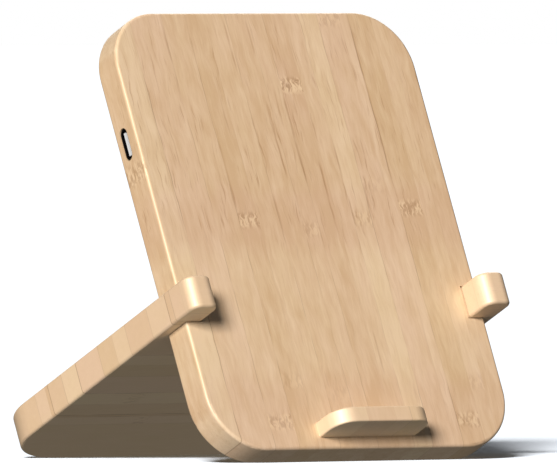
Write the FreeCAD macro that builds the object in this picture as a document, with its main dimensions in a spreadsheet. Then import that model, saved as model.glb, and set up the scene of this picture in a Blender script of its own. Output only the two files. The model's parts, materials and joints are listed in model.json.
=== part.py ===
import FreeCAD, Part
import math
import os
import re

import Sketcher
from FreeCAD import Placement, Rotation, Vector

# A two-piece bamboo phone stand. The front board leans back and holds a wireless charger in a
# pocket behind its front face. The support leg stands square to the board: its fork slides
# through a notch in each side of the board, and its two prongs reach out in front as side guides.
#
# Everything is drawn in the board's own axes and then tilted as one:
#   x runs across the board, 0 in the middle
#   y runs up the board, 0 at its bottom edge
#   z runs through the board, 0 at its back face and stock_thickness at its front face
# In the finished frame +Z is up, the front faces -Y, and the origin is the middle of the
# footprint box, on the surface that the stand rests on.

DIMENSIONS = {
    # bamboo stock, shared by the board and the leg
    "stock_thickness": 9.5,
    "edge_round": 0.9,
    "corner_radius": 16.5,
    "lean_angle": 24.75,
    # front board
    "board_width": 100,
    "board_height": 130,
    # support leg
    "leg_height": 38,
    "leg_width": 107,
    "fork_gap": 89.5,
    "prong_reach": 10,
    "prong_outer_round": 3,
    "prong_inner_round": 3.3,
    "slide_gap": 0.1,
    # phone ledge and its dowels
    "ledge_width": 32,
    "ledge_rise": 3.3,
    "ledge_thickness": 4.4,
    "ledge_reach": 10.75,
    "ledge_corner": 6,
    "ledge_round": 0.5,
    "dowel_diameter": 2.5,
    "dowel_length": 9,
    "dowel_spacing": 18,
    # back cover and its screws
    "cover_width": 93,
    "cover_height": 61,
    "cover_bottom": 52,
    "cover_corner": 6,
    "cover_thickness": 1.1,
    "cover_gap": 0.1,
    "screw_inset": 4.5,
    "cover_edge_round": 0.3,
    "screw_diameter": 2.6,
    "screw_head_diameter": 4.6,
    "screw_length": 6.5,
    "screw_hole_gap": 0.1,
    "driver_width": 0.6,
    "driver_span": 2.4,
    "driver_depth": 0.7,
    "snug_gap": 0.02,
    # pockets in the back of the board
    "front_skin": 2,
    "coil_height": 82,
    "coil_pocket_diameter": 54,
    "tray_left": 45.5,
    "tray_right": 23.4,
    "tray_bottom": 71.7,
    "tray_top": 104.3,
    "well_bottom": 77,
    "well_top": 99.5,
    "pocket_corner": 1.5,
    # coil and the layers behind it
    "wire_diameter": 1,
    "coil_inner_radius": 11,
    "coil_pitch": 1.05,
    "coil_half_turns": 21,
    "tape_diameter": 46,
    "tape_thickness": 0.2,
    "ferrite_diameter": 48,
    "ferrite_thickness": 0.8,
    "foam_diameter": 46,
    "lead_slot_rise": 6.5,
    "lead_slot_width": 1.6,
    "lead_slot_end": 6.2,
    "lead_drop": 1.05,
    # circuit board
    "pcb_left": 45.2,
    "pcb_width": 17,
    "pcb_bottom": 72,
    "pcb_height": 32,
    "pcb_thickness": 0.8,
    "pcb_corner": 1,
    "pcb_back": 1.67,
    "pcb_hole_diameter": 1.8,
    "pcb_screw_inset": 2.2,
    "pcb_screw_diameter": 1.5,
    "pcb_screw_length": 4.2,
    "pcb_screw_head_diameter": 3.4,
    "pcb_screw_head_height": 0.5,
    "pcb_driver_width": 0.4,
    "pcb_driver_span": 1.8,
    "pcb_driver_depth": 0.3,
    "thermal_pad_size": 11,
    # chips: length across the board, width up the board, height off the circuit board
    "controller_length": 5,
    "controller_width": 5,
    "controller_height": 0.9,
    "transistor_length": 3,
    "transistor_width": 3,
    "transistor_height": 0.8,
    "resonant_capacitor_length": 3.2,
    "resonant_capacitor_width": 1.6,
    "resonant_capacitor_height": 1.6,
    "input_capacitor_length": 2.5,
    "input_capacitor_width": 3.2,
    "input_capacitor_height": 2,
    "inductor_length": 4,
    "inductor_width": 4,
    "inductor_height": 2.1,
    "sensor_length": 1.6,
    "sensor_width": 0.8,
    "sensor_height": 0.8,
    "resistor_length": 0.8,
    "resistor_width": 1.6,
    "resistor_height": 0.45,
    # USB-C receptacle
    "port_height": 93.1,
    "port_width": 9.4,
    "port_thickness": 3.6,
    "shell_width": 8.94,
    "shell_thickness": 3.26,
    "shell_wall": 0.3,
    "shell_length": 9.7,
    "shell_inset": 0.3,
    "tongue_width": 6.69,
    "tongue_thickness": 0.7,
    "tongue_inset": 0.2,
    "tongue_base": 2,
    "contact_width": 0.25,
    "contact_pitch": 0.5,
    "contact_count": 12,
    "contact_length": 4.4,
    "contact_inset": 0.6,
    "contact_thickness": 0.06,
}

doc = FreeCAD.newDocument("PhoneStand")
sheet = doc.addObject("Spreadsheet::Sheet", "Dims")
for row, (alias, number) in enumerate(DIMENSIONS.items(), start=1):
    sheet.set(f"A{row}", alias.replace("_", " "))
    sheet.set(f"B{row}", str(number))
    sheet.setAlias(f"B{row}", alias)
doc.recompute()

# Formulas that several parts share, in the names of the spreadsheet.
LEG_TOP = "(leg_height + stock_thickness)"
LEG_FOOT = "(leg_height / tan(lean_angle * 1deg))"
PRONG_TIP = "(stock_thickness + prong_reach)"
DOWEL_HEIGHT = "(ledge_rise + ledge_thickness / 2)"
COVER_SCREW_X = "(cover_width / 2 - screw_inset)"
COVER_SCREW_LOW = "(cover_bottom + screw_inset)"
COVER_SCREW_HIGH = "(cover_bottom + cover_height - screw_inset)"
POCKET_FLOOR = "(stock_thickness - front_skin)"
WIRE_LEVEL = f"({POCKET_FLOOR} - tape_thickness - wire_diameter / 2)"
FERRITE_FRONT = f"({WIRE_LEVEL} - wire_diameter / 2)"
FERRITE_BACK = f"({FERRITE_FRONT} - ferrite_thickness)"
PCB_FRONT = "(pcb_back + pcb_thickness)"
PCB_SCREW_X = "(pcb_width / 2 - pcb_left)"
PCB_SCREW_LOW = "(pcb_bottom + pcb_screw_inset)"
PCB_SCREW_HIGH = "(pcb_bottom + pcb_height - pcb_screw_inset)"
PORT_LEVEL = f"({PCB_FRONT} + shell_thickness / 2)"
PORT_MOUTH = "(board_width / 2 - shell_inset)"
TONGUE_TIP = f"({PORT_MOUTH} - tongue_inset)"
SHELL_END = f"({PORT_MOUTH} - shell_length + shell_wall)"


# ---------------------------------------------------------------- helpers

def bound(formula):
    """The formula with its names looked up in the spreadsheet."""
    def look_up(match):
        return "Dims." + match[0] if match[0] in DIMENSIONS else match[0]
    return re.sub(r"[a-z_]+", look_up, formula)


def value(formula):
    """The number that a formula gives."""
    return float(sheet.evalExpression(bound(formula)))


def new_body(label):
    body = doc.addObject("PartDesign::Body", label)
    body.AllowCompound = True
    return body


def origin_item(body, role):
    return next(item for item in body.Origin.OriginFeatures if item.Role == role)


def new_sketch(body, role="XY_Plane", offset="0", across="0", up="0"):
    """An empty sketch on one of the body's own planes, moved along its normal and within it."""
    sketch = body.newObject("Sketcher::SketchObject", body.Label + "_sketch")
    sketch.AttachmentSupport = [(origin_item(body, role), "")]
    sketch.MapMode = "FlatFace"
    for name, formula in zip("xyz", (across, up, offset)):
        sketch.setExpression("AttachmentOffset.Base." + name, bound(formula))
    return sketch


def fix(sketch, kind, formula, *where):
    """A dimension whose size comes from the spreadsheet."""
    index = sketch.addConstraint(Sketcher.Constraint(kind, *where, value(formula)))
    sketch.setExpression(f"Constraints[{index}]", bound(formula))


def fix_point(sketch, geometry, point, x, y):
    fix(sketch, "DistanceX", x, -1, 1, geometry, point)
    fix(sketch, "DistanceY", y, -1, 1, geometry, point)


def outline(sketch, corners):
    """A closed outline of level and upright edges. A corner is (x, y, radius or None)."""
    spots = [Vector(value(x), value(y), 0) for x, y, _ in corners]
    radii = [value(radius) if radius else 0 for _, _, radius in corners]
    sides = []
    for here in range(len(corners)):
        there = (here + 1) % len(corners)
        along = (spots[there] - spots[here]).normalize()
        side = sketch.addGeometry(Part.LineSegment(spots[here] + along * radii[here],
                                                   spots[there] - along * radii[there]))
        upright = abs(along.x) < 0.5
        sketch.addConstraint(Sketcher.Constraint("Vertical" if upright else "Horizontal", side))
        if upright:
            fix(sketch, "DistanceX", corners[here][0], -1, 1, side, 1)
        else:
            fix(sketch, "DistanceY", corners[here][1], -1, 1, side, 1)
        sides.append((side, along))
    for here, (x, y, radius) in enumerate(corners):
        (side_in, way_in), (side_out, way_out) = sides[here - 1], sides[here]
        if not radius:
            sketch.addConstraint(Sketcher.Constraint("Coincident", side_in, 2, side_out, 1))
            continue
        turn_left = way_in.cross(way_out).z > 0
        first, last = (-way_out, way_in) if turn_left else (-way_in, way_out)
        start, end = (math.atan2(way.y, way.x) for way in (first, last))
        middle = spots[here] + (way_out - way_in) * radii[here]
        circle = Part.Circle(middle, Vector(0, 0, 1), radii[here])
        arc = sketch.addGeometry(Part.ArcOfCircle(circle, start, end))
        from_side, to_side = (1, 2) if turn_left else (2, 1)
        sketch.addConstraint(Sketcher.Constraint("Tangent", side_in, 2, arc, from_side))
        sketch.addConstraint(Sketcher.Constraint("Tangent", arc, to_side, side_out, 1))
        fix(sketch, "Radius", radius, arc)


def rectangle(sketch, left, bottom, right, top, radius=None):
    outline(sketch, [(left, bottom, radius), (right, bottom, radius),
                     (right, top, radius), (left, top, radius)])


def polygon(sketch, corners):
    """A closed outline of straight edges. A corner is (x, y)."""
    spots = [Vector(value(x), value(y), 0) for x, y in corners]
    sides = [sketch.addGeometry(Part.LineSegment(here, there))
             for here, there in zip(spots, spots[1:] + spots[:1])]
    for side, after, (x, y) in zip(sides, sides[1:] + sides[:1], corners):
        sketch.addConstraint(Sketcher.Constraint("Coincident", side, 2, after, 1))
        fix_point(sketch, side, 1, x, y)


def circle(sketch, x, y, diameter):
    middle = Vector(value(x), value(y), 0)
    ring = sketch.addGeometry(Part.Circle(middle, Vector(0, 0, 1), value(diameter) / 2))
    fix_point(sketch, ring, 3, x, y)
    fix(sketch, "Radius", f"({diameter}) / 2", ring)


def obround(sketch, x, y, width, thickness):
    """A slot shape with round ends, its length along the sketch's x."""
    reach = f"(({width}) - ({thickness})) / 2"
    ends = []
    for sign, start in (("-", 0.5), ("+", -0.5)):
        middle = f"{x} {sign} {reach}"
        spot = Vector(value(middle), value(y), 0)
        curve = Part.Circle(spot, Vector(0, 0, 1), value(thickness) / 2)
        arc = sketch.addGeometry(Part.ArcOfCircle(curve, start * math.pi, (start + 1) * math.pi))
        fix_point(sketch, arc, 3, middle, y)
        fix(sketch, "Radius", f"({thickness}) / 2", arc)
        ends.append(arc)
    left, right = ends
    for tail, tail_end, head, head_end in ((left, 2, right, 1), (right, 2, left, 1)):
        start, end = sketch.getPoint(tail, tail_end), sketch.getPoint(head, head_end)
        side = sketch.addGeometry(Part.LineSegment(start, end))
        sketch.addConstraint(Sketcher.Constraint("Tangent", tail, tail_end, side, 1))
        sketch.addConstraint(Sketcher.Constraint("Tangent", side, 2, head, head_end))


def pad(sketch, length, reverse=False):
    body = sketch.getParentGeoFeatureGroup()
    feature = body.newObject("PartDesign::Pad", body.Label + "_pad")
    feature.Profile = sketch
    feature.Reversed = reverse
    feature.setExpression("Length", bound(length))
    doc.recompute()
    return feature


def pocket(sketch, depth, reverse=False):
    """Cuts the sketch out of its body, and makes sure that it took material away."""
    body = sketch.getParentGeoFeatureGroup()
    before = body.Shape.Volume
    feature = body.newObject("PartDesign::Pocket", body.Label + "_pocket")
    feature.Profile = sketch
    feature.Reversed = reverse
    feature.setExpression("Length", bound(depth))
    doc.recompute()
    if body.Shape.Volume >= before - 1e-6:
        raise RuntimeError(f"{feature.Label} cuts nothing")
    return feature


def round_edges(body, radius, chosen):
    """Rounds the edges whose bounding boxes pass the test."""
    base = body.Tip
    names = [f"Edge{index}" for index, edge in enumerate(body.Shape.Edges, start=1)
             if chosen(edge.BoundBox)]
    fillet = body.newObject("PartDesign::Fillet", body.Label + "_fillet")
    fillet.Base = (base, names)
    fillet.setExpression("Radius", bound(radius))
    doc.recompute()


def turned(sketch):
    """Turns the sketch about its own upright axis."""
    body = sketch.getParentGeoFeatureGroup()
    feature = body.newObject("PartDesign::Revolution", body.Label + "_turned")
    feature.Profile = sketch
    feature.ReferenceAxis = (sketch, ["V_Axis"])
    doc.recompute()
    return feature


def repeat(features, rows, columns=None):
    """Copies features of a body, as separate solids. Rows and columns are (axis, span, count)."""
    body = features[0].getParentGeoFeatureGroup()
    pattern = body.newObject("PartDesign::LinearPattern", body.Label + "_pattern")
    pattern.Originals = features
    for suffix, line in (("", rows), ("2", columns)):
        if line:
            axis, span, count = line
            setattr(pattern, "Direction" + suffix, (origin_item(body, axis), [""]))
            setattr(pattern, "Mode" + suffix, "Extent")
            pattern.setExpression("Length" + suffix, bound(span))
            pattern.setExpression("Occurrences" + suffix, bound(count))
    body.Tip = pattern
    doc.recompute()


def plus_shape(sketch, width, span):
    """A plus around the sketch's own middle, as a driver bit makes."""
    arm, half = f"{span} / 2", f"{width} / 2"
    polygon(sketch, [(arm, half), (half, half), (half, arm), (f"-{half}", arm),
                     (f"-{half}", half), (f"-{arm}", half), (f"-{arm}", f"-{half}"),
                     (f"-{half}", f"-{half}"), (f"-{half}", f"-{arm}"), (half, f"-{arm}"),
                     (half, f"-{half}"), (arm, f"-{half}")])


def tube(points, diameter):
    """A round tube along straight runs joined by tangent arcs."""
    spots = [Vector(*point) for point in points]
    edges, start = [], spots[0]
    for before, spot, after in zip(spots, spots[1:], spots[2:]):
        trim = 0.45 * min((spot - before).Length, (after - spot).Length)
        way_in, way_out = (spot - before).normalize(), (after - spot).normalize()
        half_turn = way_in.getAngle(way_out) / 2
        radius = trim / math.tan(half_turn)
        inward = (way_out - way_in).normalize()
        middle = spot + inward * (radius / math.cos(half_turn) - radius)
        arc = Part.Arc(spot - way_in * trim, middle, spot + way_out * trim)
        edges += [Part.LineSegment(start, spot - way_in * trim).toShape(), arc.toShape()]
        start = spot + way_out * trim
    edges.append(Part.LineSegment(start, spots[-1]).toShape())
    return swept(edges, spots[0], spots[1] - spots[0], diameter)


def swept(edges, start, direction, diameter):
    """A round bar along tangent edges."""
    ring = Part.Wire(Part.Circle(start, direction, diameter / 2).toShape())
    return Part.Wire(edges).makePipeShell([ring], True, False)


# ---------------------------------------------------------------- bamboo parts

def make_front_board():
    """The leaning board: side notches for the fork, pockets in its back, a port hole in its edge."""
    body = new_body("front_board")
    sketch = new_sketch(body)
    rectangle(sketch, "-board_width / 2", "0", "board_width / 2", "board_height", "corner_radius")
    pad(sketch, "stock_thickness")
    round_edges(body, "edge_round", lambda box: box.ZLength < 1e-6)

    for side in ("-", ""):
        sketch = new_sketch(body, offset="stock_thickness + 1")
        rectangle(sketch, f"{side}(fork_gap / 2 - slide_gap)", "leg_height - slide_gap",
                  f"{side}(board_width / 2 + 1)", f"{LEG_TOP} + slide_gap")
        pocket(sketch, "stock_thickness + 2")

    sketch = new_sketch(body)
    rectangle(sketch, "-(cover_width / 2 + cover_gap)", "cover_bottom - cover_gap",
              "cover_width / 2 + cover_gap", "cover_bottom + cover_height + cover_gap",
              "cover_corner + cover_gap")
    pocket(sketch, "cover_thickness", reverse=True)

    sketch = new_sketch(body)
    circle(sketch, "0", "coil_height", "coil_pocket_diameter")
    pocket(sketch, POCKET_FLOOR, reverse=True)

    sketch = new_sketch(body)
    rectangle(sketch, "-tray_left", "tray_bottom", "-tray_right", "tray_top", "pocket_corner")
    pocket(sketch, PCB_FRONT, reverse=True)

    sketch = new_sketch(body)
    rectangle(sketch, "-tray_left", "well_bottom", "-tray_right + 2 * pocket_corner", "well_top",
              "pocket_corner")
    pocket(sketch, POCKET_FLOOR, reverse=True)

    sketch = new_sketch(body, "YZ_Plane", "-(board_width / 2 + 1)")
    obround(sketch, "port_height", PORT_LEVEL, "port_width", "port_thickness")
    pocket(sketch, "board_width / 2 - tray_left + 2", reverse=True)

    sketch = new_sketch(body)
    for x in (f"-{COVER_SCREW_X}", COVER_SCREW_X):
        for y in (COVER_SCREW_LOW, COVER_SCREW_HIGH):
            circle(sketch, x, y, "screw_diameter + snug_gap")
    pocket(sketch, "screw_length + screw_hole_gap", reverse=True)

    sketch = new_sketch(body)
    for y in (PCB_SCREW_LOW, PCB_SCREW_HIGH):
        circle(sketch, PCB_SCREW_X, y, "pcb_screw_diameter + snug_gap")
    pocket(sketch, "pcb_back + pcb_screw_length + screw_hole_gap", reverse=True)

    sketch = new_sketch(body, offset="stock_thickness")
    for x in ("-dowel_spacing / 2", "dowel_spacing / 2"):
        circle(sketch, x, DOWEL_HEIGHT, "dowel_diameter + snug_gap")
    pocket(sketch, "dowel_length / 2 + screw_hole_gap")


def make_support_leg():
    """The leg: a plate with round foot corners, forked in front around the board."""
    body = new_body("support_leg")
    sketch = new_sketch(body, "XZ_Plane", f"-{LEG_TOP}")
    outline(sketch, [("-leg_width / 2", f"-{LEG_FOOT}", "corner_radius"),
                     ("leg_width / 2", f"-{LEG_FOOT}", "corner_radius"),
                     ("leg_width / 2", PRONG_TIP, "prong_outer_round"),
                     ("fork_gap / 2", PRONG_TIP, "prong_inner_round"),
                     ("fork_gap / 2", "0", None),
                     ("-fork_gap / 2", "0", None),
                     ("-fork_gap / 2", PRONG_TIP, "prong_inner_round"),
                     ("-leg_width / 2", PRONG_TIP, "prong_outer_round")])
    pad(sketch, "stock_thickness")
    round_edges(body, "edge_round", lambda box: box.YLength < 1e-6)


def make_phone_ledge():
    """The small block that the phone stands on, with two blind holes for its dowels."""
    body = new_body("phone_ledge")
    sketch = new_sketch(body, "XZ_Plane", "-(ledge_rise + ledge_thickness)")
    outline(sketch, [("-ledge_width / 2", "stock_thickness", None),
                     ("ledge_width / 2", "stock_thickness", None),
                     ("ledge_width / 2", "stock_thickness + ledge_reach", "ledge_corner"),
                     ("-ledge_width / 2", "stock_thickness + ledge_reach", "ledge_corner")])
    pad(sketch, "ledge_thickness")
    board_face = value("stock_thickness")
    round_edges(body, "ledge_round",
                lambda box: box.YLength < 1e-6 and box.ZMax > board_face + 1e-6)
    sketch = new_sketch(body, offset="stock_thickness")
    for x in ("-dowel_spacing / 2", "dowel_spacing / 2"):
        circle(sketch, x, DOWEL_HEIGHT, "dowel_diameter + snug_gap")
    pocket(sketch, "dowel_length / 2 + screw_hole_gap", reverse=True)


def make_ledge_dowels():
    """Two dowels, half in the board and half in the ledge."""
    body = new_body("ledge_dowels")
    sketch = new_sketch(body, offset="stock_thickness - dowel_length / 2")
    circle(sketch, "-dowel_spacing / 2", DOWEL_HEIGHT, "dowel_diameter")
    dowel = pad(sketch, "dowel_length")
    repeat([dowel], ("X_Axis", "dowel_spacing", "2"))


# ---------------------------------------------------------------- back cover

def make_back_cover():
    """A flush plastic plate over the pockets, countersunk for four screws."""
    body = new_body("back_cover")
    sketch = new_sketch(body)
    rectangle(sketch, "-cover_width / 2", "cover_bottom", "cover_width / 2",
              "cover_bottom + cover_height", "cover_corner")
    pad(sketch, "cover_thickness")
    round_edges(body, "cover_edge_round", lambda box: box.ZMax < 1e-6)
    sketch = new_sketch(body)
    for x in (f"-{COVER_SCREW_X}", COVER_SCREW_X):
        for y in (COVER_SCREW_LOW, COVER_SCREW_HIGH):
            circle(sketch, x, y, "screw_diameter")
    hole = body.newObject("PartDesign::Hole", "back_cover_screw_holes")
    hole.Profile = sketch
    doc.recompute()
    hole.DepthType = "ThroughAll"
    hole.Reversed = True
    hole.HoleCutType = "Countersink"
    hole.HoleCutCountersinkAngle = 90
    hole.setExpression("Diameter", bound("screw_diameter + 2 * screw_hole_gap"))
    hole.setExpression("HoleCutDiameter", bound("screw_head_diameter + 2 * screw_hole_gap"))
    doc.recompute()


def make_cover_screws():
    """Four countersunk wood screws with cross recesses, their threads left plain."""
    body = new_body("cover_screws")
    sketch = new_sketch(body, "XZ_Plane", f"-{COVER_SCREW_LOW}", across=f"-{COVER_SCREW_X}")
    polygon(sketch, [("0", "0"), ("screw_head_diameter / 2", "0"),
                     ("screw_diameter / 2", "(screw_head_diameter - screw_diameter) / 2"),
                     ("screw_diameter / 2", "screw_length - screw_diameter / 2"),
                     ("0", "screw_length")])
    screw = turned(sketch)
    sketch = new_sketch(body, across=f"-{COVER_SCREW_X}", up=COVER_SCREW_LOW)
    plus_shape(sketch, "driver_width", "driver_span")
    recess = pocket(sketch, "driver_depth", reverse=True)
    repeat([screw, recess], ("X_Axis", f"2 * {COVER_SCREW_X}", "2"),
           ("Y_Axis", f"{COVER_SCREW_HIGH} - {COVER_SCREW_LOW}", "2"))


# ---------------------------------------------------------------- circuit board

def make_circuit_board():
    """The charger's circuit board, lying on two wooden shelves in the pocket."""
    body = new_body("circuit_board")
    sketch = new_sketch(body, offset="pcb_back")
    rectangle(sketch, "-pcb_left", "pcb_bottom", "pcb_width - pcb_left",
              "pcb_bottom + pcb_height", "pcb_corner")
    for y in (PCB_SCREW_LOW, PCB_SCREW_HIGH):
        circle(sketch, PCB_SCREW_X, y, "pcb_hole_diameter")
    pad(sketch, "pcb_thickness")


def make_pcb_screws():
    """Two thin-headed screws through the circuit board into its shelves."""
    body = new_body("pcb_screws")
    sketch = new_sketch(body, "XZ_Plane", f"-{PCB_SCREW_LOW}", across=PCB_SCREW_X)
    head = "pcb_back - pcb_screw_head_height"
    tip = "pcb_back + pcb_screw_length"
    polygon(sketch, [("0", head), ("pcb_screw_head_diameter / 2", head),
                     ("pcb_screw_head_diameter / 2", "pcb_back"),
                     ("pcb_screw_diameter / 2", "pcb_back"),
                     ("pcb_screw_diameter / 2", f"{tip} - pcb_screw_diameter / 2"), ("0", tip)])
    screw = turned(sketch)
    sketch = new_sketch(body, offset=head, across=PCB_SCREW_X, up=PCB_SCREW_LOW)
    plus_shape(sketch, "pcb_driver_width", "pcb_driver_span")
    recess = pocket(sketch, "pcb_driver_depth", reverse=True)
    repeat([screw, recess], ("Y_Axis", f"{PCB_SCREW_HIGH} - {PCB_SCREW_LOW}", "2"))


def make_chips(label, kind, places):
    """Block-shaped parts on the circuit board. A place is measured from its lower left corner."""
    blocks = []
    for across, up in places:
        box = doc.addObject("Part::Box", label + "_block")
        corner = (f"{across} - pcb_left - {kind}_length / 2",
                  f"{up} + pcb_bottom - {kind}_width / 2", PCB_FRONT)
        for name, size in (("Length", "length"), ("Width", "width"), ("Height", "height")):
            box.setExpression(name, bound(f"{kind}_{size}"))
        for name, formula in zip("xyz", corner):
            box.setExpression("Placement.Base." + name, bound(formula))
        blocks.append(box)
    doc.addObject("Part::Compound", label).Links = blocks


def make_thermal_pad():
    """A soft pad that carries heat from the circuit board to the cover."""
    body = new_body("thermal_pad")
    sketch = new_sketch(body, offset="cover_thickness", across=PCB_SCREW_X, up="well_bottom")
    rectangle(sketch, "-thermal_pad_size / 2", "pocket_corner", "thermal_pad_size / 2",
              "pocket_corner + thermal_pad_size")
    pad(sketch, "pcb_back - cover_thickness")


# ---------------------------------------------------------------- USB-C receptacle

def make_usb_shell():
    """The metal shell: a round-ended tube, closed at its inner end."""
    body = new_body("usb_shell")
    sketch = new_sketch(body, "YZ_Plane", f"-{PORT_MOUTH}")
    obround(sketch, "port_height", PORT_LEVEL, "shell_width", "shell_thickness")
    pad(sketch, "shell_length")
    sketch = new_sketch(body, "YZ_Plane", f"-{PORT_MOUTH}")
    obround(sketch, "port_height", PORT_LEVEL, "shell_width - 2 * shell_wall",
            "shell_thickness - 2 * shell_wall")
    pocket(sketch, "shell_length - shell_wall", reverse=True)


def make_usb_tongue():
    """The plastic insulator: a block that fills the shell's inner end, and the flat tongue."""
    body = new_body("usb_tongue")
    sketch = new_sketch(body, "YZ_Plane", f"-({SHELL_END} + tongue_base)")
    obround(sketch, "port_height", PORT_LEVEL, "shell_width - 2 * shell_wall - snug_gap",
            "shell_thickness - 2 * shell_wall - snug_gap")
    pad(sketch, "tongue_base")
    sketch = new_sketch(body, "YZ_Plane", f"-{TONGUE_TIP}", across="port_height", up=PORT_LEVEL)
    rectangle(sketch, "-tongue_width / 2", "-tongue_thickness / 2", "tongue_width / 2",
              "tongue_thickness / 2")
    pad(sketch, f"{TONGUE_TIP} - {SHELL_END} - tongue_base")


def make_usb_contacts():
    """Gilded contact strips along both faces of the tongue."""
    body = new_body("usb_contacts")
    row = "(contact_pitch * (contact_count - 1))"
    sketch = new_sketch(body, offset=f"{PORT_LEVEL} - tongue_thickness / 2 - contact_thickness",
                        across=f"-{TONGUE_TIP}", up=f"port_height - {row} / 2")
    rectangle(sketch, "contact_inset", "-contact_width / 2", "contact_inset + contact_length",
              "contact_width / 2")
    strip = pad(sketch, "contact_thickness")
    repeat([strip], ("Y_Axis", row, "contact_count"),
           ("Z_Axis", "tongue_thickness + contact_thickness", "2"))


# ---------------------------------------------------------------- coil and its layers

def make_coil_layer(label, diameter, level, thickness, lead_slot):
    """A flat round layer behind the front skin, slotted where the coil's inner lead runs."""
    body = new_body(label)
    sketch = new_sketch(body, offset=level)
    circle(sketch, "0", "coil_height", diameter)
    pad(sketch, thickness)
    if lead_slot:
        sketch = new_sketch(body, offset=level, up="coil_height + lead_slot_rise")
        rectangle(sketch, "-coil_pocket_diameter / 2", "-lead_slot_width / 2", "lead_slot_end",
                  "lead_slot_width / 2")
        pocket(sketch, thickness, reverse=True)


def make_transmitter_coil():
    """A flat spiral of litz wire: half circles that grow by half the pitch."""
    centre = Vector(0, value("coil_height"), value(WIRE_LEVEL))
    pitch = value("coil_pitch")
    radius = value("coil_inner_radius") + pitch / 4
    start = centre + Vector(value("coil_inner_radius"), 0, 0)
    first, arcs, side = start, [], -1
    for _ in range(round(value("coil_half_turns"))):
        middle = start + Vector(side * radius, side * radius, 0)
        end = start + Vector(2 * side * radius, 0, 0)
        arcs.append(Part.Arc(start, middle, end).toShape())
        start, radius, side = end, radius + pitch / 2, -side
    coil = doc.addObject("Part::Feature", "transmitter_coil")
    coil.Shape = swept(arcs, first, Vector(0, -1, 0), value("wire_diameter"))


def make_coil_leads():
    """The coil's two ends: the inner one dips into the ferrite's slot to pass under the turns."""
    inner = value("coil_inner_radius")
    outer = inner + value("coil_half_turns * coil_pitch / 2")
    slot = value("lead_slot_rise")
    under = -value("lead_drop")
    on_board = value(f"{PCB_FRONT} + wire_diameter / 2 - {WIRE_LEVEL}")
    inner_route = [(inner, 0, 0), (inner, 1.3, 0), (7.5, slot, 0), (3.5, slot, 0), (-2, slot, under),
                   (-25, slot, under), (-29, slot, on_board), (-31, slot, on_board)]
    outer_route = [(-outer, 0, 0), (-outer, 8.8, 0), (-25.5, 11, 0), (-29, 11, on_board),
                   (-31, 11, on_board)]
    centre = Vector(0, value("coil_height"), value(WIRE_LEVEL))
    leads = [tube([centre + Vector(*point) for point in route], value("wire_diameter"))
             for route in (inner_route, outer_route)]
    feature = doc.addObject("Part::Feature", "coil_leads")
    feature.Shape = Part.Compound(leads)


# ---------------------------------------------------------------- the whole stand

def standing():
    """The placement that leans the board back, with the footprint's middle at the origin."""
    lean = math.radians(value("lean_angle"))
    rise, run = math.cos(lean), math.sin(lean)
    edge, nose = value("edge_round"), value("ledge_round")
    floor = edge * (rise + run - 1)
    front = (value("ledge_rise") + nose) * run - nose
    front -= (value("stock_thickness + ledge_reach") - nose) * rise
    back = (value(LEG_TOP) - edge) * run + (value(LEG_FOOT) - edge) * rise + edge
    tilt = Rotation(Vector(1, 0, 0), 90 - value("lean_angle"))
    return Placement(Vector(0, -(front + back) / 2, -floor), tilt)


def check_document():
    for item in doc.Objects:
        if {"Invalid", "Error"} & set(item.State):
            raise RuntimeError(f"{item.Label}: {item.State}")


make_front_board()
make_support_leg()
make_phone_ledge()
make_ledge_dowels()
make_back_cover()
make_cover_screws()
make_circuit_board()
make_pcb_screws()
make_thermal_pad()
make_usb_shell()
make_usb_tongue()
make_usb_contacts()
make_chips("controller_chip", "controller", [(10.2, 22.5)])
make_chips("power_transistors", "transistor", [(2.7, 11.9), (2.7, 15.2)])
make_chips("resonant_capacitors", "resonant_capacitor",
           [(10.7, 7), (10.7, 9.4), (10.7, 11.8), (10.7, 14.2)])
make_chips("input_capacitors", "input_capacitor", [(14.9, 8.8), (14.9, 12.6)])
make_chips("buck_inductor", "inductor", [(2.7, 7.9)])
make_chips("temperature_sensor", "sensor", [(14.9, 24.5)])
make_chips("chip_resistors", "resistor", [(6.7, 7), (6.7, 9.4), (6.7, 11.8), (6.7, 14.2)])
make_coil_layer("coil_tape", "tape_diameter", f"{POCKET_FLOOR} - tape_thickness",
                "tape_thickness", lead_slot=False)
make_coil_layer("ferrite_shield", "ferrite_diameter", FERRITE_BACK, "ferrite_thickness",
                lead_slot=True)
make_coil_layer("foam_spacer", "foam_diameter", "cover_thickness",
                f"{FERRITE_BACK} - cover_thickness", lead_slot=True)
make_transmitter_coil()
make_coil_leads()

sub_parts = [item for item in doc.Objects
             if item.TypeId in ("PartDesign::Body", "Part::Compound", "Part::Feature")]
for sub_part in sub_parts:
    sub_part.Placement = standing().multiply(sub_part.Placement)
doc.recompute()
check_document()

os.makedirs("parts", exist_ok=True)
whole = FreeCAD.BoundBox()
for sub_part in sub_parts:
    shape = sub_part.Shape
    if shape.isNull() or not shape.isValid() or not shape.Solids:
        raise RuntimeError(f"{sub_part.Label} has no valid solid")
    whole.add(shape.BoundBox)
    shape.exportStep(f"parts/{sub_part.Label}.step")
    print(f"{sub_part.Label}: {len(shape.Solids)} solids, {shape.Volume:.1f} mm3")
print(f"{len(sub_parts)} nodes, {whole}")
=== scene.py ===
"""The finish, light and camera of the bamboo phone stand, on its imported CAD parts."""
import json
import math

import bpy
from mathutils import Matrix, Vector


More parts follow.
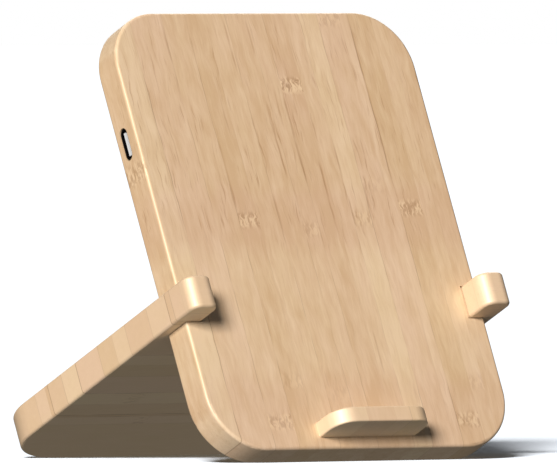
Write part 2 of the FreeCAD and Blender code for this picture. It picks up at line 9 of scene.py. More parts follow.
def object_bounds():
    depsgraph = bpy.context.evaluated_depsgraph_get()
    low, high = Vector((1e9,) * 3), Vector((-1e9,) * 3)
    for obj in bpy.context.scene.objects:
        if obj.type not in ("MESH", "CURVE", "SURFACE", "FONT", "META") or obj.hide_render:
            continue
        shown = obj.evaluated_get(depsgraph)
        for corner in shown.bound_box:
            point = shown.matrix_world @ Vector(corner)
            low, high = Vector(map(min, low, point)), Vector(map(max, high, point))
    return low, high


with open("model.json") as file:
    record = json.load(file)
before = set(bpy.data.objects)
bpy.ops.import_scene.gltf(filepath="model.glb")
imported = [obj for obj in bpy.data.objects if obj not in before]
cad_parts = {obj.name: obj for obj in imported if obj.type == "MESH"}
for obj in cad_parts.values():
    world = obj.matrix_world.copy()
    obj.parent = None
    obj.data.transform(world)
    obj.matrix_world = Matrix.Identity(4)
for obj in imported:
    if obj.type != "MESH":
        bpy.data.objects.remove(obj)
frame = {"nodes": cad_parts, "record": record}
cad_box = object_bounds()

MM = 0.001

# ------------------------------------------------------------ the board's own axes
# u runs across the board, v up it and n out of its front face. Sizes and places are in mm.

mount_axes = {mount["name"]: Vector(mount["axis"]) for mount in frame["record"]["mounts"]}
V_AXIS, N_AXIS = mount_axes["ledge_top"], mount_axes["charging_face"]


def lowest(node, axis):
    """Where the node starts along the axis, in metres."""
    return min(vertex.co.dot(axis) for vertex in frame["nodes"][node].data.vertices)


BOARD_V0 = lowest("front_board", V_AXIS)
BOARD_N0 = lowest("front_board", N_AXIS)
TILT = math.atan2(V_AXIS.y, V_AXIS.z) - math.pi / 2


# ------------------------------------------------------------ node building

NOISE_MIDDLE = (0.3, 0.7)


def srgb(red, green, blue):
    """A colour given in screen values from 0 to 255."""
    def linear(value):
        share = value / 255
        return share / 12.92 if share <= 0.04045 else ((share + 0.055) / 1.055) ** 2.4
    return (linear(red), linear(green), linear(blue), 1)


class Material:
    """A procedural material. Each of its methods adds nodes and gives what comes out of them."""

    def __init__(self, name):
        self.block = bpy.data.materials.new(name)
        self.block.use_nodes = True
        self.nodes = self.block.node_tree.nodes
        self.shader = self.nodes["Principled BSDF"]

    def put(self, socket, value):
        """Links the socket to a node's output, or sets it to a number or colour."""
        if isinstance(value, bpy.types.NodeSocket):
            self.block.node_tree.links.new(value, socket)
        else:
            socket.default_value = value

    def add(self, kind, values, output=0, **settings):
        """values are {input: number, colour or output}."""
        node = self.nodes.new("ShaderNode" + kind)
        for name, setting in settings.items():
            setattr(node, name, setting)
        for key, value in values.items():
            self.put(node.inputs[key], value)
        return node.outputs[output]

    def maths(self, operation, *values):
        return self.add("Math", dict(enumerate(values)), operation=operation)

    def plus(self, first, second):
        return self.maths("ADD", first, second)

    def minus(self, first, second):
        return self.maths("SUBTRACT", first, second)

    def times(self, first, second):
        return self.maths("MULTIPLY", first, second)

    def times_plus(self, first, second, third):
        """first x second + third"""
        return self.maths("MULTIPLY_ADD", first, second, third)

    def apart(self, first, second):
        """How far apart the two are."""
        return self.maths("ABSOLUTE", self.minus(first, second))

    def swing(self, pattern, amount, value):
        """The value, moved up and down by what a pattern differs from its middle."""
        return self.times_plus(self.minus(pattern, 0.5), amount, value)

    def smooth(self, value, low, high, start=0.0, end=1.0):
        """Goes smoothly from start to end as value goes from low to high."""
        return self.add("MapRange", {"Value": value, "From Min": low, "From Max": high,
                                     "To Min": start, "To Max": end},
                        interpolation_type="SMOOTHSTEP")

    def spread(self, pattern, start, end):
        """Goes from start to end over the values that a noise mostly has."""
        return self.smooth(pattern, *NOISE_MIDDLE, start, end)

    def board_axes(self):
        """Where a point is in the board's own axes."""
        point = self.add("TexCoord", {}, "Object")
        return self.add("Mapping", {"Vector": point, "Rotation": (TILT, 0, 0),
                                    "Scale": (1 / MM,) * 3,
                                    "Location": (0, -BOARD_V0 / MM, -BOARD_N0 / MM)})

    def parts(self, vector):
        """The three numbers of a vector or colour."""
        return list(self.add("SeparateXYZ", {0: vector}).node.outputs)

    def join(self, x, y, z):
        return self.add("CombineXYZ", {"X": x, "Y": y, "Z": z})

    def scaled(self, vector, *grain):
        """The vector divided by a pattern's grain size: one number, or one for each axis."""
        sizes = grain * 3 if len(grain) == 1 else grain
        return self.add("VectorMath", {0: vector, 1: tuple(1 / size for size in sizes)},
                        operation="MULTIPLY")

    def noise(self, vector, detail=2.0, roughness=0.5, distortion=0.0, scale=1.0):
        return self.add("TexNoise", {"Vector": vector, "Scale": scale, "Detail": detail,
                                     "Roughness": roughness, "Distortion": distortion})

    def cells(self, vector, feature="F1"):
        return self.add("TexVoronoi", {"Vector": vector, "Scale": 1.0}, "Distance",
                        feature=feature)

    def ramp(self, value, stops, interpolation):
        """stops are (place, colour), with the places from 0 to 1."""
        colour = self.add("ValToRGB", {"Fac": value}, "Color")
        band = colour.node.color_ramp
        band.interpolation = interpolation
        while len(band.elements) < len(stops):
            band.elements.new(1)
        for element, (place, shade) in zip(band.elements, stops):
            element.position = place
            element.color = shade
        return colour

    def mix(self, share, first, second):
        return self.add("Mix", {0: share, 6: first, 7: second}, output=2, data_type="RGBA")

    def bump(self, height, distance, strength):
        """distance is the height of the relief."""
        return self.add("Bump", {"Height": height, "Distance": distance * MM,
                                 "Strength": strength})

    def finish(self, **inputs):
        """Sets inputs of the material's shader and gives the material itself."""
        for name, value in inputs.items():
            self.put(self.shader.inputs[name.replace("_", " ")], value)
        return self.block


# ------------------------------------------------------------ bamboo

# The strips that the stock is glued up from, from left to right. Each is (its first edge, shade
# from 0 dark to 1 light, blush from 0 golden to 1 pinkish, how dark its first glue line is, the
# nodes of its culm). A node is (its height, how strong it is).
BOARD_STRIPS = [
    (-51.0, 0.85, 0.1, 0.0, ()),
    (-42.5, 0.55, 0.6, 0.8, ()),
    (-36.5, 0.62, 0.6, 0.1, ()),
    (-31.5, 0.45, 0.3, 0.5, ((8, 0.6),)),
    (-23.5, 0.22, 0.1, 0.5, ((20, 0.3), (68, 0.75))),
    (-17.0, 0.45, 0.2, 0.2, ()),
    (-10.3, 0.36, 0.3, 0.4, ((16, 0.2),)),
    (-2.6, 0.42, 0.4, 0.3, ((65, 0.4),)),
    (2.7, 0.22, 0.4, 0.4, ((108, 0.9),)),
    (9.8, 0.50, 0.4, 0.1, ()),
    (14.6, 0.76, 0.1, 0.2, ((68, 0.4),)),
    (21.0, 0.52, 0.7, 0.5, ((78, 0.2), (128, 0.4))),
    (28.5, 0.66, 0.6, 0.1, ()),
    (31.3, 0.22, 0.0, 0.6, ((8, 0.6), (71, 0.75))),
    (38.5, 0.48, 0.2, 0.2, ((19, 0.3),)),
    (43.5, 0.36, 0.3, 0.1, ()),
]
LEG_STRIPS = [
    (-83.0, 0.48, 0.3, 0.0, ((30, 0.5),)),
    (-66.0, 0.70, 0.5, 0.3, ((-22, 0.4),)),
    (-54.8, 0.13, 0.3, 1.0, ()),
    (-53.2, 0.44, 0.3, 1.0, ((12, 0.4),)),
    (-46.2, 0.83, 0.1, 0.4, ((-34, 0.4),)),
    (-38.5, 0.66, 0.9, 1.0, ((41, 0.4),)),
    (-27.5, 0.36, 0.0, 0.4, ((-8, 0.4),)),
    (-20.0, 0.73, 0.2, 0.3, ((25, 0.4),)),
    (-13.5, 0.44, 0.5, 0.5, ((-40, 0.4),)),
    (-2.0, 0.70, 0.4, 0.3, ((3, 0.4),)),
    (7.4, 0.28, 0.5, 1.0, ()),
    (9.4, 0.54, 0.6, 1.0, ()),
    (14.6, 0.62, 0.4, 0.6, ()),
]
LEDGE_STRIPS = [
    (-17.0, 0.85, 0.4, 0.0, ()),
    (-7.0, 0.45, 0.6, 0.1, ()),
    (2.6, 0.62, 0.5, 0.3, ()),
    (7.6, 0.45, 0.1, 0.4, ()),
    (12.4, 0.55, 0.4, 0.3, ()),
]
DOWEL_STRIPS = [(-17.0, 0.60, 0.3, 0.0, ()), (0.0, 0.70, 0.4, 0.2, ())]

# How the board changes up its height: (height, lift of the shade, blush, strength of streaks).
BOARD_ZONES = [
    (-5, 0.42, 0.7, 0.3),
    (17, 0.42, 0.7, 0.4),
    (25, 0.62, 0.1, 0.2),
    (55, 0.60, 0.1, 0.2),
    (64, 0.30, 0.9, 0.8),
    (74, 0.30, 0.9, 0.9),
    (79, 0.38, 0.2, 1.0),
    (104, 0.42, 0.2, 0.8),
    (130, 0.46, 0.4, 0.6),
]
PLAIN_ZONE = [(0, 0.5, 0.3, 0.12)]  # the same all the way up

# The darkest fibres on the board: (place across it, lower end, upper end, strength).
BOARD_FIBRES = [
    (-42.6, 50, 128, 0.35), (-33.7, 62, 75, 0.7), (-31.6, 98, 131, 0.5), (-23.0, 70, 93, 0.8),
    (-18.6, 92, 113, 0.5), (-10.6, 111, 129, 0.7), (-9.6, 62, 77, 0.5), (-3.6, 79, 104, 0.95),
    (-3.1, 115, 130, 0.5), (2.6, 77, 107, 0.85), (6.1, 121, 129, 0.5), (8.6, 62, 87, 0.9),
    (11.3, 20, 36, 0.5), (15.1, 79, 93, 0.6), (21.6, 67, 80, 0.6), (31.5, 76, 130, 0.6),
]

# The board's long edges are darker than its face from SIDE_FROM outwards, SIDE_BLEND further on
# fully so, and have one culm node, at the height SIDE_NODE.
SIDE_FROM, SIDE_BLEND = 48.8, 0.9
SIDE_DARKER = 0.5
SIDE_NODE, SIDE_NODE_STRENGTH, SIDE_BAND = 84.0, 0.7, (1.0, 4.5)

# A ramp holds what each strip is like over STRIP_SPAN across, and heights over NODE_SPAN.
STRIP_SPAN = 120.0
NODE_SPAN = 300.0

# Waves that lines wander in: (length along, width across, how far they move a line, seed).
EDGE_WAVES = [(40.0, 60.0, 1.2, 0.0), (5.0, 60.0, 0.45, 1.0)]
FIBRE_WAVES = [(11.0, 40.0, 0.7, 6.0), (3.5, 40.0, 0.22, 8.0)]
GRAIN_WAVES = [(6.0, 3.0, 1.1, 2.0), (20.0, 7.0, 2.4, 7.0)]
NODE_WAVES = [(4.0, 2.0, 1.2, 9.0)]
KNOT_WAVES = [(1.9, 1.3, 3.2, 5.0)]
ZONE_WAVES = [(60.0, 5.0, 9.0, 3.0)]

# Patterns in the grain: (width of a grain, its length, detail, roughness of the noise).
FINE = (0.42, 5.5, 3.0, 0.65)
BROAD = (1.6, 12.0, 3.0, 0.5)
CLOUDY = (5.0, 12.0, 2.0, 0.5)
SHARP = (0.42, 8.0, 2.0, 0.5)
PATCHY = (3.4, 20.0, 1.0, 0.5)
KNOTTY = (0.62, 2.6, 2.0, 0.5)

# Each strip takes its grain from a place of its own up the pattern, from 0 to GRAIN_SHIFT.
FIRST_PHASE, PHASE_STEP, SAME_PHASE = 0.37, 0.61803, 0.02
GRAIN_SHIFT = 170.0

# Glue lines reach GLUE_REACH to each side of a joint. They and the dark fibres have breaks.
GLUE_REACH = 0.14
BREAKS_PER_MM, BREAK_LENGTH, BREAK_SEED = 0.3, 13.0, 4.0
GLUE_BREAKS, FIBRE_BREAKS = (0.38, 0.60, 0.15, 1.0), (0.30, 0.56, 0.3, 1.0)

# Where a mark fades from full to nothing, as distances from its middle.
NODES_PER_STRIP = 2
NODE_BAND, NODE_HALO = (1.0, 3.2), (2.0, 16.0)
FIBRE_HALF_WIDTH, FIBRE_TAPER = (0.10, 0.42), 5

# The levels of a pattern between which a mark comes in.
DARK_KNOTS, LIGHT_KNOTS = (0.47, 0.61), (0.52, 0.40)
SHARP_STREAKS, STREAK_PATCHES = (0.55, 0.74), (0.40, 0.64)

LIGHT_GOLD, LIGHT_PINK = srgb(233, 208, 173), srgb(231, 202, 174)
DARK_GOLD, DARK_PINK = srgb(212, 180, 142), srgb(213, 179, 146)
STREAK, STREAK_COVER = srgb(150, 100, 58), 0.52
GLUE, GLUE_COVER = srgb(128, 92, 62), 0.55
LIGHT_KNOT, LIGHT_KNOT_COVER = srgb(240, 212, 176), 0.85
DARK_KNOT, DARK_KNOT_COVER = srgb(140, 98, 60), 0.5
BROAD_TONE, CLOUDY_TONE, FINE_TONE = 0.95, 0.80, 0.95
ZONE_BLUSH, HALO_BLUSH, CLOUDY_BLUSH = 0.6, 0.5, 1.0
LACQUER = {"Specular_IOR_Level": 1.0, "Specular_Tint": (0.75, 1.0, 0.76, 1),
           "Coat_Weight": 0.5, "Coat_Roughness": 0.40, "Coat_IOR": 1.6}
LACQUER_ROUGHNESS, FINE_ROUGHNESS = 0.47, 0.16
WOOD_RELIEF, RELIEF_STRENGTH, FINE_RELIEF = 0.03, 0.4, 0.5


def strip_place(edge):
    return (edge + STRIP_SPAN / 2) / STRIP_SPAN


def node_value(height):
    return (height + NODE_SPAN / 2) / NODE_SPAN


class Bamboo(Material):
    """Bamboo glued up from strips. axes names the board's axes across, along and through them.

    edges adds the look of the board's long edges."""

    def __init__(self, name, axes, strips, edges):
        super().__init__(name)
        self.strips = strips
        place = dict(zip("uvn", self.parts(self.board_axes())))
        self.across, self.along, self.through = (place[axis] for axis in axes)
        self.edge_place = self.wander(self.across, EDGE_WAVES)
        self.breaks = self.noise(self.join(self.times(self.edge_place, BREAKS_PER_MM),
                                           self.maths("DIVIDE", self.along, BREAK_LENGTH),
                                           BREAK_SEED), detail=3.0)
        self.beside = 0.0
        if edges:
            self.beside = self.smooth(self.maths("ABSOLUTE", self.across),
                                      SIDE_FROM, SIDE_FROM + SIDE_BLEND)

    def wander(self, value, waves):
        """The value, moved to and fro a little along the culm."""
        for length, width, amount, seed in waves:
            wave = self.noise(self.join(self.maths("DIVIDE", self.across, width),
                                        self.maths("DIVIDE", self.along, length), seed),
                              detail=1.0)
            value = self.swing(wave, amount, value)
        return value

    def figure(self, place, width, length, detail, roughness):
        """A noise of long narrow grains."""
        return self.noise(self.scaled(place, width, length, width), detail, roughness)

    def strip_levels(self, position, stops):
        """The three numbers that stops, one for each strip, hold for a position across."""
        share = self.maths("DIVIDE", self.plus(position, STRIP_SPAN / 2), STRIP_SPAN)
        return self.parts(self.ramp(share, stops, "CONSTANT"))

    def kinds(self, position):
        """The shade, blush and phase of the strip at a position across."""
        return self.strip_levels(position, [
            (strip_place(edge), (shade, blush, (FIRST_PHASE + PHASE_STEP * index) % 1.0, 1))
            for index, (edge, shade, blush, _, _) in enumerate(self.strips)])

    def culm(self, position, number):
        """The height and strength of a node of the strip there, and the strip's glue line."""
        stops = []
        for edge, _, _, glue, nodes in self.strips:
            height, strength = nodes[number] if number < len(nodes) else (0, 0)
            stops.append((strip_place(edge), (node_value(height), strength, glue, 1)))
        return self.strip_levels(position, stops)

    def glue_lines(self):
        """1 on the thin dark lines between strips, which break along their length."""
        before = self.kinds(self.plus(self.edge_place, -GLUE_REACH))[2]
        beyond = self.plus(self.edge_place, GLUE_REACH)
        after, glue = self.kinds(beyond)[2], self.culm(beyond, 0)[2]
        line = self.maths("GREATER_THAN", self.apart(before, after), SAME_PHASE)
        line = self.times(self.times(line, glue), self.smooth(self.breaks, *GLUE_BREAKS))
        return self.times(line, self.minus(1.0, self.beside))

    def culm_nodes(self):
        """How far a point is in a band where the fibres twist, and in the halo round one."""
        band, halo = 0.0, 0.0
        for number in range(NODES_PER_STRIP):
            height, strength, _ = self.culm(self.edge_place, number)
            middle = self.times_plus(height, NODE_SPAN, -NODE_SPAN / 2)
            off = self.apart(self.wander(self.along, NODE_WAVES), middle)
            band = self.times_plus(self.smooth(off, *NODE_BAND, 1.0, 0.0), strength, band)
            halo = self.times_plus(self.smooth(off, *NODE_HALO, 1.0, 0.0), strength, halo)
        off = self.apart(self.along, SIDE_NODE)
        band = self.times_plus(self.smooth(off, *SIDE_BAND, SIDE_NODE_STRENGTH, 0.0),
                               self.beside, band)
        return band, halo

    def knots(self, band, twist):
        """The dark and the light fibres in a band."""
        place = self.join(self.plus(self.across, twist), self.along, self.through)
        pattern = self.figure(place, *KNOTTY)
        return [self.times(band, self.smooth(pattern, *levels))
                for levels in (DARK_KNOTS, LIGHT_KNOTS)]

    def zone_levels(self, zones):
        """The lift of the shade, the blush and the strength of streaks at a point's height."""
        share = self.maths("DIVIDE", self.plus(self.wander(self.along, ZONE_WAVES),
                                               NODE_SPAN / 2), NODE_SPAN)
        stops = [(node_value(height), (*levels, 1)) for height, *levels in zones]
        return self.parts(self.ramp(share, stops, "EASE"))

    def streaks(self, grain_place, strength, fibres):
        """The dark fibres: those of the pattern, at this strength, and the ones listed."""
        streak = self.times(self.smooth(self.figure(grain_place, *SHARP), *SHARP_STREAKS),
                            self.smooth(self.figure(grain_place, *PATCHY), *STREAK_PATCHES))
        streak = self.times(streak, strength)
        place = self.wander(self.across, FIBRE_WAVES)
        for middle, low, high, dark in fibres:
            reach = (high - low) / 2
            line = self.times(
                self.smooth(self.apart(place, middle), *FIBRE_HALF_WIDTH, dark, 0.0),
                self.smooth(self.apart(self.along, (low + high) / 2),
                            reach - FIBRE_TAPER, reach, 1.0, 0.0))
            line = self.times(line, self.smooth(self.breaks, *FIBRE_BREAKS))
            streak = self.maths("MAXIMUM", streak, line)
        return streak


def bamboo(name, axes, strips, zones=PLAIN_ZONE, fibres=(), grain=1.0, edges=False):
    """Lacquered bamboo. grain is the strength of its figure. The rest is as in class Bamboo."""
    look = Bamboo(name, axes, strips, edges)
    shade, blush, phase = look.kinds(look.edge_place)
    joint = look.glue_lines()
    band, halo = look.culm_nodes()
    twist = look.times(band, look.wander(0.0, KNOT_WAVES))
    dark_knot, light_knot = look.knots(band, twist)

    # the grain of each strip, which is its own
    wavy = look.plus(look.wander(look.edge_place, GRAIN_WAVES), twist)
    grain_place = look.join(wavy, look.times_plus(phase, GRAIN_SHIFT, look.along), look.through)
    fine, broad, cloudy = (look.figure(grain_place, *kind) for kind in (FINE, BROAD, CLOUDY))
    lift, zone_blush, zone_streaks = look.zone_levels(zones)
    streak = look.streaks(grain_place, zone_streaks, fibres)

    tone = look.plus(shade, look.minus(lift, 0.5))
    for pattern, amount in ((broad, BROAD_TONE), (cloudy, CLOUDY_TONE), (fine, FINE_TONE)):
        tone = look.swing(pattern, amount * grain, tone)
    tone = look.times_plus(look.beside, -SIDE_DARKER, tone)
    blush = look.times_plus(zone_blush, ZONE_BLUSH, blush)
    blush = look.times_plus(halo, HALO_BLUSH, blush)
    blush = look.swing(cloudy, CLOUDY_BLUSH, blush)
    colour = look.mix(blush, look.mix(tone, DARK_GOLD, LIGHT_GOLD),
                      look.mix(tone, DARK_PINK, LIGHT_PINK))
    for mark, cover, paint in ((streak, STREAK_COVER, STREAK), (joint, GLUE_COVER, GLUE),
                               (light_knot, LIGHT_KNOT_COVER, LIGHT_KNOT),
                               (dark_knot, DARK_KNOT_COVER, DARK_KNOT)):
        colour = look.mix(look.times(mark, cover), colour, paint)

    height = look.minus(look.times(fine, FINE_RELIEF * grain), streak)
    height = look.minus(height, look.plus(dark_knot, joint))
    return look.finish(Base_Color=colour,
                       Roughness=look.times_plus(fine, FINE_ROUGHNESS, LACQUER_ROUGHNESS),
                       Normal=look.bump(height, WOOD_RELIEF, RELIEF_STRENGTH), **LACQUER)


# ------------------------------------------------------------ plastics, metals and electronics

# How large the grains of their patterns are: one number, or one each for u, v and n.
PLASTIC_PATCH = 22.0
TRACK_CELL, MASK_GRAIN = (1.7, 1.7, 40.0), 0.5
EPOXY_SPECK, CERAMIC_GRAIN, FILLER_SPECK = 0.12, 0.1, 0.3
FERRITE_GRAIN, FERRITE_CLOUD = 0.35, 6.0
TARNISH_PATCH, TAPE_WRINKLE, BUBBLE = 5.0, (5.0, 2.0, 5.0), 0.5
# How near a cell's edge a track lies, and how far a chip's tinned ends are from its middle, as a
# share of the pitch.
TRACK_EDGE = (0.05, 0.09)
CHIP_PITCH, TINNED_FROM = 3.2, 0.38


def moulded_plastic(name, colour, grain, roughness, relief):
    """Plastic with a fine spark-eroded texture, whose pits are grain across."""
    look = Material(name)
    place = look.board_axes()
    pits = look.noise(look.scaled(place, grain), detail=3.0, roughness=0.6)
    patches = look.noise(look.scaled(place, PLASTIC_PATCH), detail=2.0)
    lighter = tuple(min(1.0, channel * 1.5 + 0.004) for channel in colour[:3]) + (1,)
    shade = look.mix(look.times(pits, look.spread(patches, 0.5, 1.0)), colour, lighter)
    return look.finish(Base_Color=shade, Normal=look.bump(pits, relief, 0.6),
                       Roughness=look.spread(patches, roughness - 0.06, roughness + 0.06))


def brushed_metal(name, colour, stretch, roughness):
    """Metal with fine scratches. stretch is the size of a scratch along u, v and n."""
    look = Material(name)
    scratches = look.noise(look.scaled(look.board_axes(), *stretch), detail=3.0, roughness=0.65)
    darker = tuple(channel * 0.7 for channel in colour[:3]) + (1,)
    return look.finish(Base_Color=look.mix(scratches, darker, colour), Metallic=1.0,
                       Roughness=look.spread(scratches, roughness - 0.08, roughness + 0.1),
                       Normal=look.bump(scratches, 0.01, 0.4))


def solder_mask(name, mask, over_copper, shadow):
    """Solder mask over copper tracks."""
    look = Material(name)
    place = look.board_axes()
    tracks = look.cells(look.scaled(place, *TRACK_CELL), "DISTANCE_TO_EDGE")
    grain = look.noise(look.scaled(place, MASK_GRAIN), detail=2.0)
    track = look.smooth(tracks, *TRACK_EDGE, 1.0, 0.0)
    colour = look.mix(look.times(grain, 0.3), look.mix(track, mask, over_copper), shadow)
    return look.finish(Base_Color=colour, Roughness=look.spread(grain, 0.22, 0.38),
                       Normal=look.bump(track, 0.03, 0.6))


def epoxy(name, dark, light):
    """Moulded epoxy with a faint speckle."""
    look = Material(name)
    grain = look.noise(look.scaled(look.board_axes(), EPOXY_SPECK), detail=3.0)
    return look.finish(Base_Color=look.mix(grain, dark, light),
                       Roughness=look.spread(grain, 0.35, 0.55),
                       Normal=look.bump(grain, 0.01, 0.5))


def ceramic_chip(name, dark, light, tin):
    """Fired ceramic with tinned ends across the part."""
    look = Material(name)
    place = look.board_axes()
    across = look.parts(place)[0]
    grain = look.noise(look.scaled(place, CERAMIC_GRAIN), detail=2.0)
    wave = look.maths("FRACT", look.maths("DIVIDE", across, CHIP_PITCH))
    end = look.maths("GREATER_THAN", look.apart(wave, 0.5), TINNED_FROM)
    return look.finish(Base_Color=look.mix(end, look.mix(grain, dark, light), tin), Metallic=end,
                       Roughness=look.spread(grain, 0.35, 0.5),
                       Normal=look.bump(grain, 0.01, 0.4))


def sintered_ferrite(name, dark, light, cloud):
    """Dull grey grains with darker clouds."""
    look = Material(name)
    place = look.board_axes()
    grains = look.cells(look.scaled(place, FERRITE_GRAIN))
    clouds = look.noise(look.scaled(place, FERRITE_CLOUD), detail=3.0)
    colour = look.mix(look.times(clouds, 0.5), look.mix(grains, dark, light), cloud)
    return look.finish(Base_Color=colour, Roughness=0.75, Normal=look.bump(grains, 0.03, 0.5))


def litz_wire(name, dark, light, tarnished):
    """Enamelled copper strands, twisted round the wire."""
    look = Material(name)
    place = look.board_axes()
    strands = look.add("TexWave", {"Vector": place, "Scale": 1.3, "Distortion": 2.0,
                                   "Detail": 2.0, "Detail Scale": 1.5},
                       "Fac", wave_type="BANDS", bands_direction="DIAGONAL")
    tarnish = look.noise(look.scaled(place, TARNISH_PATCH), detail=2.0)
    colour = look.mix(look.times(tarnish, 0.5), look.mix(strands, dark, light), tarnished)
    return look.finish(Base_Color=colour, Metallic=0.9,
                       Roughness=look.spread(tarnish, 0.28, 0.45),
                       Normal=look.bump(strands, 0.05, 0.7))


def polyimide_tape(name, dark, light):
    """Polyimide film with small wrinkles."""
    look = Material(name)
    wrinkles = look.noise(look.scaled(look.board_axes(), *TAPE_WRINKLE), detail=3.0,
                          distortion=0.8)
    return look.finish(Base_Color=look.mix(wrinkles, dark, light),
                       Roughness=look.spread(wrinkles, 0.15, 0.3),
                       Normal=look.bump(wrinkles, 0.06, 0.5))


def foam(name, dark, light):
    """Dull open bubbles."""
    look = Material(name)
    bubbles = look.cells(look.scaled(look.board_axes(), BUBBLE))
    return look.finish(Base_Color=look.mix(bubbles, dark, light), Roughness=0.95,
                       Normal=look.bump(bubbles, 0.15, 0.8))


def silicone(name, dark, light):
    """Soft silicone with a filler's specks."""
    look = Material(name)
    specks = look.noise(look.scaled(look.board_axes(), FILLER_SPECK), detail=3.0)
    return look.finish(Base_Color=look.mix(specks, dark, light), Roughness=0.6,
                       Normal=look.bump(specks, 0.02, 0.5))


# The finish of each material slot of the record: (slot, its maker, what the maker is given).
SLOTS = [
    ("cover_plastic", moulded_plastic, srgb(46, 46, 48), 0.32, 0.55, 0.03),
    ("screw_steel", brushed_metal, srgb(120, 120, 124), (0.08, 1.2, 0.08), 0.32),
    ("shell_steel", brushed_metal, srgb(62, 62, 66), (0.6, 0.06, 0.06), 0.38),
    ("port_plastic", moulded_plastic, srgb(196, 200, 204), 0.2, 0.5, 0.01),
    ("contact_gold", brushed_metal, srgb(236, 190, 110), (1.0, 0.05, 0.05), 0.25),
    ("pcb_green", solder_mask, srgb(14, 74, 42), srgb(30, 112, 62), srgb(10, 60, 36)),
    ("chip_black", epoxy, srgb(18, 18, 20), srgb(48, 48, 52)),
    ("capacitor_tan", ceramic_chip, srgb(150, 116, 84), srgb(186, 150, 112), srgb(190, 190, 188)),
    ("ferrite", sintered_ferrite, srgb(48, 48, 52), srgb(84, 84, 88), srgb(60, 56, 56)),
    ("copper", litz_wire, srgb(146, 76, 44), srgb(214, 130, 84), srgb(150, 86, 60)),
    ("tape_amber", polyimide_tape, srgb(170, 96, 24), srgb(222, 150, 52)),
    ("foam", foam, srgb(40, 40, 42), srgb(82, 82, 84)),
    ("thermal_silicone", silicone, srgb(172, 180, 188), srgb(206, 210, 214)),
]
FINISHES = {slot: make(slot, *given) for slot, make, *given in SLOTS}
WOOD = {
    "front_board": bamboo("board_bamboo", "uvn", BOARD_STRIPS, BOARD_ZONES, BOARD_FIBRES,
                          grain=1.2, edges=True),
    "support_leg": bamboo("leg_bamboo", "nuv", LEG_STRIPS, grain=0.32),
    "phone_ledge": bamboo("ledge_bamboo", "uvn", LEDGE_STRIPS, grain=0.5),
    "ledge_dowels": bamboo("dowel_bamboo", "unv", DOWEL_STRIPS, grain=0.5),
}


def dress_nodes():
    """Gives each CAD part its wood or its slot's finish, and shading that keeps flat faces flat."""
    slots = {part["node"]: part["material_slot"] for part in frame["record"]["subparts"]}
    for name, part in frame["nodes"].items():
        finish = WOOD.get(name) or FINISHES[slots[name]]
        if not part.material_slots:
            part.data.materials.append(finish)
        for slot in part.material_slots:
            slot.material = finish
        shading = part.modifiers.new("flat_faces", "WEIGHTED_NORMAL")
        shading.weight, shading.keep_sharp = 100, True


# ------------------------------------------------------------ floor, light and camera

FLOOR_RADIUS, FLOOR_SIDES = 40.0, 48
FLOOR_TINTS = (0.86, 0.90, 0.96, 1), (0.89, 0.93, 0.98, 1)
FLOOR_MOTTLE = 9.0
FLOOR_FINISH = {"Roughness": 0.9, "Specular_IOR_Level": 0.1}

WARM, PALE, WHITE = (1.0, 0.93, 0.86), (0.98, 0.98, 0.93), (1.0, 1.0, 1.0)
KEY_FROM = -1.08 * Vector((1, 0, 0)) + 0.2 * V_AXIS + N_AXIS
# (name, where it shines from, power, the angle in degrees that its soft box fills, colour, what
# it lights). The highlights are those on the leg and the ledge.
LAMPS = [
    ("key", KEY_FROM, 4.56, 19, WARM, "stand"),
    ("sheen", KEY_FROM, 2.8, 76, WARM, "highlights"),
    ("back_light", (0.55, 0.75, 0.75), 1.6, 50, WARM, "stand"),
    ("bounce", (-0.4, -0.4, -1), 0.48, 60, PALE, "stand"),
    ("floor_key", (-0.735, -0.678, 0.56), 7.1, 11, WHITE, "floor"),
    ("floor_fill", (-0.731, -0.682, 1.0), 0.4, 20, WHITE, "floor"),
]
BACKDROP = (1, 1, 1, 1)
AMBIENT = (0.056, 0.058, 0.058, 1)

CAMERA_HEADING = math.radians(35.70)
CAMERA_PITCH = math.radians(0.655)
CAMERA_ROLL = math.radians(-0.117)
CAMERA_DISTANCE = 5.906
CAMERA_LENS, CAMERA_SENSOR = 1399.0, 36.0
CAMERA_CLIP = (0.1, 200.0)
AIM_RIGHT, AIM_UP = 2.83 * MM, 0.93 * MM


def box_middle():
    low, high = cad_box
    return (low + high) / 2


def link(thing):
    bpy.context.scene.collection.objects.link(thing)
    return thing


def make_floor():
    """A pale disc that takes the shadow, and neither lights nor shades the stand."""
    mesh = bpy.data.meshes.new("floor")
    turns = [step * math.tau / FLOOR_SIDES for step in range(FLOOR_SIDES)]
    corners = [(FLOOR_RADIUS * math.cos(turn), FLOOR_RADIUS * math.sin(turn), 0)
               for turn in turns]
    mesh.from_pydata(corners, [], [range(FLOOR_SIDES)])
    floor = link(bpy.data.objects.new("floor", mesh))
    look = Material("floor_paint")
    mottle = look.noise(look.add("TexCoord", {}, "Object"), detail=3.0, scale=FLOOR_MOTTLE)
    mesh.materials.append(look.finish(Base_Color=look.mix(mottle, *FLOOR_TINTS), **FLOOR_FINISH))
    floor.visible_diffuse = False
    floor.visible_glossy = False
    floor.visible_shadow = False
    return floor


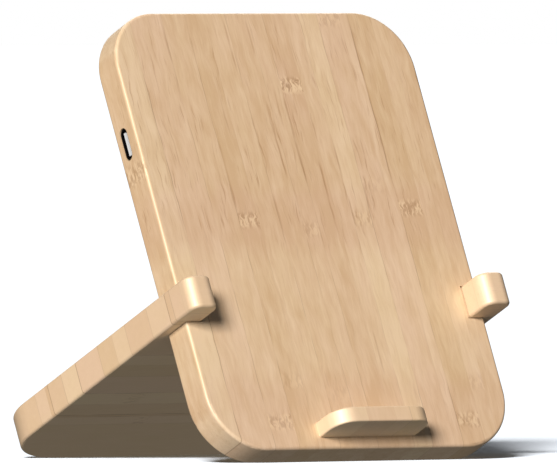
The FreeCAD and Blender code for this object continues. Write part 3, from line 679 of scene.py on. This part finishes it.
def make_lamps(floor):
    """Far lamps, each of which reaches only the things that it lights."""
    nodes = frame["nodes"]
    lit = {"stand": list(nodes.values()), "floor": [floor],
           "highlights": [nodes["support_leg"], nodes["phone_ledge"]]}
    for name, place, power, softness, colour, lights in LAMPS:
        direction = Vector(place).normalized()
        lamp = bpy.data.lights.new(name, "SUN")
        lamp.energy, lamp.angle, lamp.color = power, math.radians(softness), colour
        light = link(bpy.data.objects.new(name, lamp))
        light.location = box_middle() + direction
        light.rotation_euler = direction.to_track_quat("Z", "Y").to_euler()
        light.visible_diffuse = lights != "highlights"
        receivers = bpy.data.collections.new(name + "_receivers")
        for thing in lit[lights]:
            receivers.objects.link(thing)
        light.light_linking.receiver_collection = receivers


def make_world():
    """A white backdrop for the camera, and a dimmer light from all round for everything else."""
    world = bpy.data.worlds.new("studio")
    world.use_nodes = True
    nodes, links = world.node_tree.nodes, world.node_tree.links
    nodes.clear()
    backdrop, ambient = (nodes.new("ShaderNodeBackground") for _ in range(2))
    backdrop.inputs["Color"].default_value = BACKDROP
    ambient.inputs["Color"].default_value = AMBIENT
    choice = nodes.new("ShaderNodeMixShader")
    rays = nodes.new("ShaderNodeLightPath")
    output = nodes.new("ShaderNodeOutputWorld")
    links.new(rays.outputs["Is Camera Ray"], choice.inputs["Fac"])
    links.new(ambient.outputs[0], choice.inputs[1])
    links.new(backdrop.outputs[0], choice.inputs[2])
    links.new(choice.outputs[0], output.inputs["Surface"])
    bpy.context.scene.world = world


def make_camera():
    """A long lens, low and a little left of the front."""
    sin_h, cos_h = math.sin(CAMERA_HEADING), math.cos(CAMERA_HEADING)
    sin_p, cos_p = math.sin(CAMERA_PITCH), math.cos(CAMERA_PITCH)
    right = Vector((cos_h, -sin_h, 0))
    forward = Vector((sin_h * cos_p, cos_h * cos_p, -sin_p))
    up = right.cross(forward)
    lens = bpy.data.cameras.new("camera")
    lens.lens, lens.sensor_width = CAMERA_LENS, CAMERA_SENSOR
    lens.clip_start, lens.clip_end = CAMERA_CLIP
    camera = link(bpy.data.objects.new("camera", lens))
    place = box_middle() + right * AIM_RIGHT + up * AIM_UP - forward * CAMERA_DISTANCE
    turned = Matrix((right, up, -forward)).transposed() @ Matrix.Rotation(CAMERA_ROLL, 3, "Z")
    camera.matrix_world = Matrix.Translation(place) @ turned.to_4x4()
    bpy.context.scene.camera = camera


dress_nodes()
make_lamps(make_floor())
make_world()
make_camera()
bpy.context.scene.view_settings.view_transform = "Standard"
